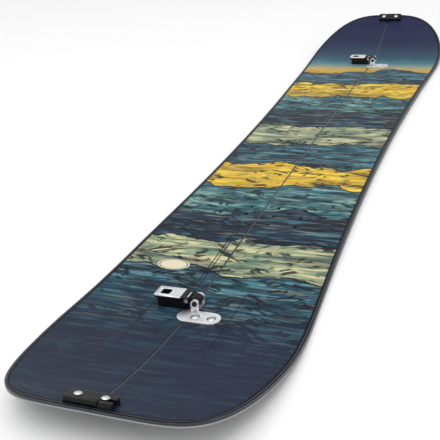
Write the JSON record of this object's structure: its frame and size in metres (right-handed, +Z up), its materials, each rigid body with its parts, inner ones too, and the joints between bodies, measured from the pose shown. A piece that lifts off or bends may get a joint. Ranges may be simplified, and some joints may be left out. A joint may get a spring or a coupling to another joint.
{
  "type": "splitboard",
  "caption": "Snowboard split lengthwise into two skis, joined along the seam by hinged draw clips and swinging end latches.",
  "frame": {"origin": "under the middle of the joined board, on the plane of the flat running base", "axes": "+Y towards the nose, +X to the right-hand ski, +Z up out of the deck"},
  "size_m": [0.283, 1.47, 0.0683],
  "materials": {
    "topsheet": "satin printed nylon sheet",
    "laminate": "resin and glass fibre",
    "wood_core": "bare laminated strips",
    "sidewall": "milled",
    "base_sheet": "stone-ground and waxed",
    "steel_edge": "ground",
    "insert_steel": "turned",
    "screw_steel": "bright",
    "dark_steel": "black oxide",
    "clip_aluminium": "fine brushed",
    "black_nylon": "moulded"
  },
  "bodies": {
    "left_half": {"front_catch_block": "black_nylon", "front_catch_screws": "screw_steel", "left_base": "base_sheet", "left_binding_inserts": "insert_steel", "left_clip_inserts": "insert_steel", "left_heel_rest_inserts": "insert_steel", "left_lower_laminate": "laminate", "left_sidewall": "sidewall", "left_steel_edge": "steel_edge", "left_topsheet": "topsheet", "left_touring_inserts": "insert_steel", "left_upper_laminate": "laminate", "left_wood_core": "wood_core", "nose_post": "screw_steel", "nose_post_base": "black_nylon", "rear_catch_block": "black_nylon", "rear_catch_screws": "screw_steel", "tail_latch_base": "black_nylon", "tail_latch_screw": "screw_steel"},
    "right_half": {"front_lever_pin": "dark_steel", "front_lever_plate": "clip_aluminium", "front_plate_screws": "screw_steel", "nose_latch_base": "black_nylon", "nose_latch_screw": "screw_steel", "rear_lever_pin": "dark_steel", "rear_lever_plate": "clip_aluminium", "rear_plate_screws": "screw_steel", "right_base": "base_sheet", "right_binding_inserts": "insert_steel", "right_clip_inserts": "insert_steel", "right_heel_rest_inserts": "insert_steel", "right_lower_laminate": "laminate", "right_sidewall": "sidewall", "right_steel_edge": "steel_edge", "right_topsheet": "topsheet", "right_touring_inserts": "insert_steel", "right_upper_laminate": "laminate", "right_wood_core": "wood_core", "tail_post": "screw_steel", "tail_post_base": "black_nylon"},
    "rear_lever": {"rear_lever": "black_nylon", "rear_lever_bush": "black_nylon", "rear_lever_cap": "clip_aluminium", "rear_tension_barrel": "screw_steel"},
    "front_lever": {"front_lever": "black_nylon", "front_lever_bush": "black_nylon", "front_lever_cap": "clip_aluminium", "front_tension_barrel": "screw_steel"},
    "tail_latch": {"tail_latch": "black_nylon"},
    "nose_latch": {"nose_latch": "black_nylon"}
  },
  "joints": [
    {"name": "halves_split", "type": "slide", "parent": "left_half", "child": "right_half", "axis": [1, 0, 0], "range_m": [0, 0.025]},
    {"name": "rear_lever_swing", "type": "hinge", "parent": "right_half", "child": "rear_lever", "pos_m": [0.0045, -0.50152, 0.01419], "axis": [0, 0.9994, -0.0349], "range_deg": [0, 106]},
    {"name": "front_lever_swing", "type": "hinge", "parent": "right_half", "child": "front_lever", "pos_m": [0.0045, 0.51845, 0.01498], "axis": [0, 0.9993, 0.0382], "range_deg": [0, 106]},
    {"name": "tail_latch_swing", "type": "hinge", "parent": "left_half", "child": "tail_latch", "pos_m": [-0.019, -0.72133, 0.04296], "axis": [0, 0.2749, 0.9615], "range_deg": [0, 91]},
    {"name": "nose_latch_swing", "type": "hinge", "parent": "right_half", "child": "nose_latch", "pos_m": [0.019, 0.71988, 0.06203], "axis": [0, -0.4245, 0.9054], "range_deg": [0, 91]}
  ],
  "couplings": [
    {"joint": "rear_lever_swing", "follows": "halves_split", "rad_per_m": 73.304},
    {"joint": "front_lever_swing", "follows": "halves_split", "rad_per_m": 73.304},
    {"joint": "tail_latch_swing", "follows": "halves_split", "rad_per_m": 62.832},
    {"joint": "nose_latch_swing", "follows": "halves_split", "rad_per_m": 62.832}
  ]
}
